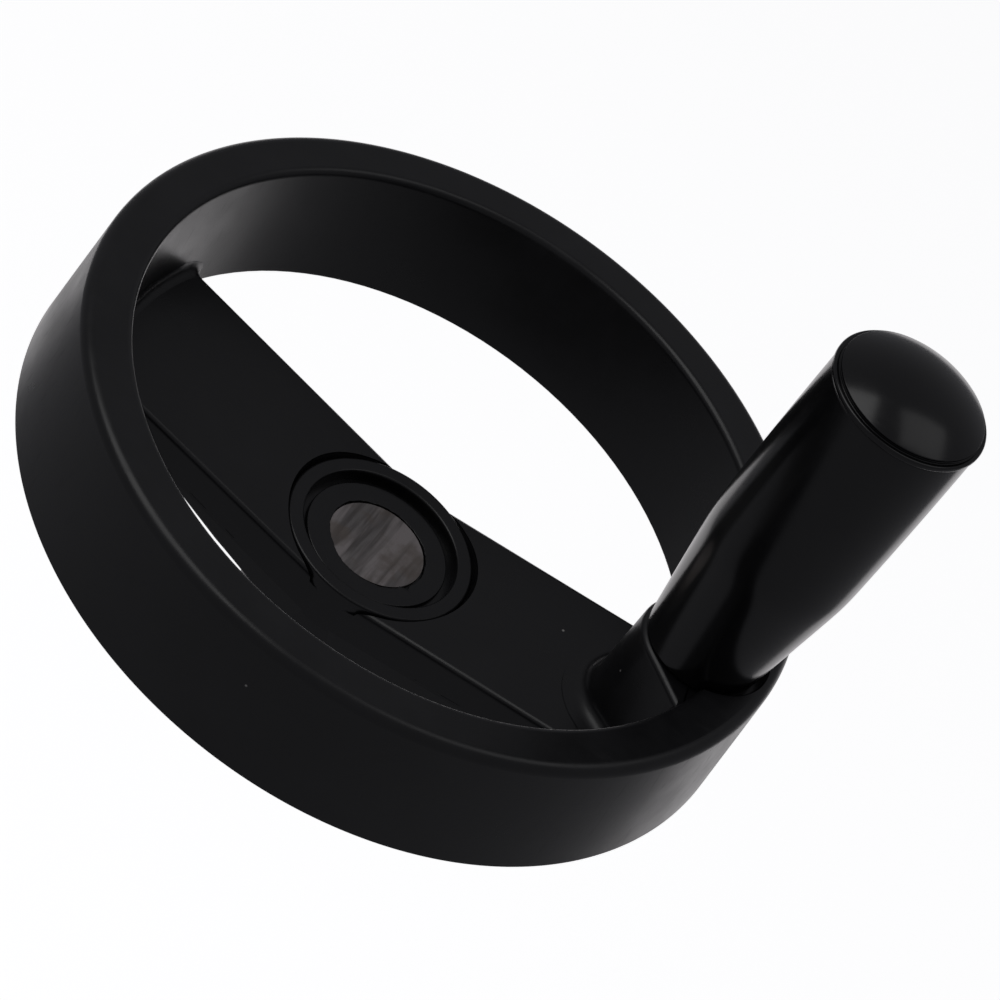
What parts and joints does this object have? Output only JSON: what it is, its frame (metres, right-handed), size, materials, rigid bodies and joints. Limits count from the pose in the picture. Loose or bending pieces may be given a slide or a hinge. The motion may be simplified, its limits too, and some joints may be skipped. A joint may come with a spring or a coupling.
{
  "type": "handwheel",
  "caption": "Dished machine handwheel in black moulded phenolic, with a flat bar across a deep rim, a steel-bushed hub and a revolving barrel handle under a domed cap.",
  "frame": {"origin": "centre of the hub's back face, at the mouth of the shaft bore", "axes": "+Z along the wheel's axis towards the handle's side, +X along the arm that carries the handle"},
  "size_m": [0.1249, 0.125, 0.106],
  "materials": {
    "moulding": "satin",
    "polished_moulding": "gloss",
    "bare_steel": "satin",
    "turned_steel": "polished"
  },
  "bodies": {
    "wheel": {"wheel_body": "moulding", "hub_insert": "bare_steel", "handle_insert": "bare_steel", "handle_spindle": "turned_steel"},
    "handle": {"handle_grip": "polished_moulding", "handle_cap": "polished_moulding"}
  },
  "joints": [
    {"name": "handle_spin", "type": "hinge", "parent": "wheel", "child": "handle", "pos_m": [0.0489, 0, 0.0423], "axis": [0, 0, 1], "continuous": true}
  ]
}
